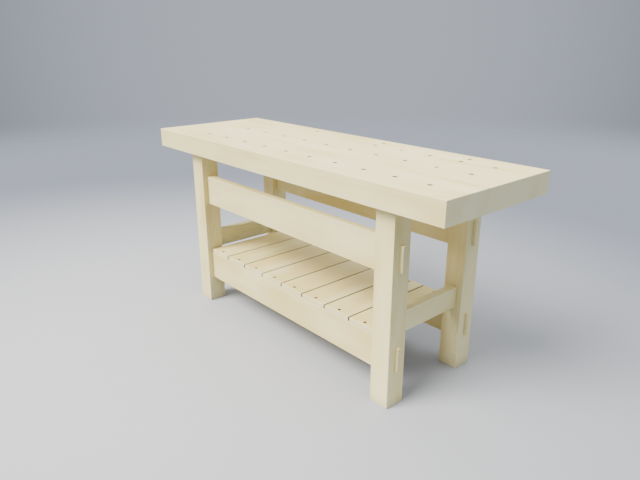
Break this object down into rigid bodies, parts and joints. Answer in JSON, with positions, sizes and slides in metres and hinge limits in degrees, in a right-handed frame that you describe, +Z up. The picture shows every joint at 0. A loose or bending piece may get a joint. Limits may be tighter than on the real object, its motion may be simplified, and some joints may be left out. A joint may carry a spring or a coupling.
{
  "type": "woodworking bench",
  "caption": "Heavy woodworking bench: laminated top with rows of dog holes, square legs, rails with proud through tenons and a slatted shelf.",
  "frame": {"origin": "on the floor under the middle of the top", "axes": "+X along the bench to the right seen from its front, +Y to its back, +Z up"},
  "size_m": [1.8288, 0.6094, 0.885],
  "materials": {
    "top_wood": "pale planed softwood, thin matt oil",
    "frame_wood": "pale planed softwood, thin matt oil",
    "shelf_wood": "pale planed softwood boards",
    "screw_steel": "dark zinc, slightly dull"
  },
  "bodies": {
    "root": {"top_stave_1": "top_wood", "top_stave_2": "top_wood", "top_stave_3": "top_wood", "top_stave_4": "top_wood", "top_stave_5": "top_wood", "top_stave_6": "top_wood", "top_stave_7": "top_wood", "top_stave_8": "top_wood", "leg_front_left": "frame_wood", "leg_front_right": "frame_wood", "leg_back_left": "frame_wood", "leg_back_right": "frame_wood", "upper_rail_front": "frame_wood", "upper_rail_back": "frame_wood", "lower_rail_front": "frame_wood", "lower_rail_back": "frame_wood", "end_rail_left": "frame_wood", "end_rail_right": "frame_wood", "shelf_slat_1": "shelf_wood", "shelf_slat_2": "shelf_wood", "shelf_slat_3": "shelf_wood", "shelf_slat_4": "shelf_wood", "shelf_slat_5": "shelf_wood", "shelf_slat_6": "shelf_wood", "shelf_slat_7": "shelf_wood", "shelf_slat_8": "shelf_wood", "shelf_screw_front_1": "screw_steel", "shelf_screw_front_2": "screw_steel", "shelf_screw_front_3": "screw_steel", "shelf_screw_front_4": "screw_steel", "shelf_screw_front_5": "screw_steel", "shelf_screw_front_6": "screw_steel", "shelf_screw_front_7": "screw_steel", "shelf_screw_front_8": "screw_steel", "shelf_screw_back_1": "screw_steel", "shelf_screw_back_2": "screw_steel", "shelf_screw_back_3": "screw_steel", "shelf_screw_back_4": "screw_steel", "shelf_screw_back_5": "screw_steel", "shelf_screw_back_6": "screw_steel", "shelf_screw_back_7": "screw_steel", "shelf_screw_back_8": "screw_steel"}
  },
  "joints": []
}
